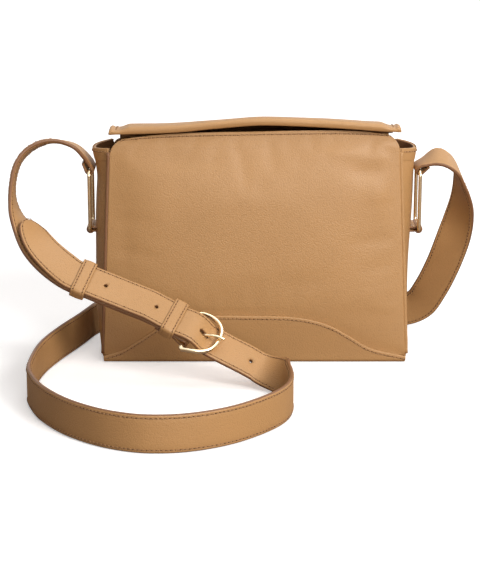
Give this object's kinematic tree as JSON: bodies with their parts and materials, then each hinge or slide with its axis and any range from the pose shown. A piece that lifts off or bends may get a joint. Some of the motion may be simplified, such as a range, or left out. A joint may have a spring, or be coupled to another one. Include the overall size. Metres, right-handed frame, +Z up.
{
  "type": "sling bag",
  "caption": "Small structured leather sling bag with a padded flap, gold side rings and a wide buckled strap looping in front.",
  "frame": {"origin": "centre of the bag's footprint at the base; the free strap and its buckle are left out of the box", "axes": "+Z up, -Y towards the bag's front, +X to the wearer's view right, across the front"},
  "size_m": [0.3671, 0.3269, 0.1937],
  "materials": {
    "leather": "pebbled satin",
    "edge_leather": "satin",
    "gold_metal": "polished pale gold plate",
    "lining": "matte",
    "foam": "matte",
    "board": "matte",
    "magnet": "satin"
  },
  "bodies": {
    "bag": {"front_panel": "leather", "back_panel": "leather", "base_wrap": "leather", "left_gusset": "leather", "right_gusset": "leather", "left_gusset_hem": "leather", "right_gusset_hem": "leather", "left_ring_tab": "edge_leather", "right_ring_tab": "edge_leather", "front_left_welt": "edge_leather", "front_right_welt": "edge_leather", "back_left_welt": "edge_leather", "back_right_welt": "edge_leather", "front_foam": "foam", "back_board": "board", "base_board": "board", "lining": "lining", "slip_pocket": "lining", "pocket_binding": "edge_leather", "body_magnet": "magnet", "flap_hinge": "leather", "long_strap": "leather", "buckle_strap": "leather", "fixed_keeper": "edge_leather"},
    "flap": {"flap_cover": "leather", "flap_lining": "lining", "flap_foam": "foam", "flap_magnet": "magnet"},
    "left_ring_body": {"left_ring": "gold_metal"},
    "right_ring_body": {"right_ring": "gold_metal"},
    "keeper_body": {"sliding_keeper": "edge_leather"},
    "buckle_body": {"buckle_frame": "gold_metal"},
    "prong_body": {"buckle_prong": "gold_metal"}
  },
  "joints": [
    {"name": "flap_turn", "type": "hinge", "parent": "bag", "child": "flap", "pos_m": [0, 0.0268, 0.17], "axis": [-1, 0, 0], "range_deg": [0, 170], "deforming": ["flap_hinge"]},
    {"name": "left_ring_swing", "type": "hinge", "parent": "bag", "child": "left_ring_body", "pos_m": [-0.13, 0, 0.102], "axis": [0, -1, 0], "range_deg": [0, 40], "deforming": ["buckle_strap"]},
    {"name": "right_ring_swing", "type": "hinge", "parent": "bag", "child": "right_ring_body", "pos_m": [0.13, 0, 0.102], "axis": [0, 1, 0], "range_deg": [0, 40], "deforming": ["long_strap"]},
    {"name": "keeper_slide", "type": "slide", "parent": "bag", "child": "keeper_body", "axis": [0.929, -0.105, -0.355], "range_m": [-0.003, 0.034]},
    {"name": "buckle_tilt", "type": "hinge", "parent": "bag", "child": "buckle_body", "pos_m": [-0.04989, -0.0904, 0.0412], "axis": [-0.375, -0.7599, -0.5309], "range_deg": [0, 4]},
    {"name": "prong_lift", "type": "hinge", "parent": "buckle_body", "child": "prong_body", "pos_m": [-0.04989, -0.0904, 0.0412], "axis": [-0.375, -0.7599, -0.5309], "range_deg": [0, 4]}
  ]
}
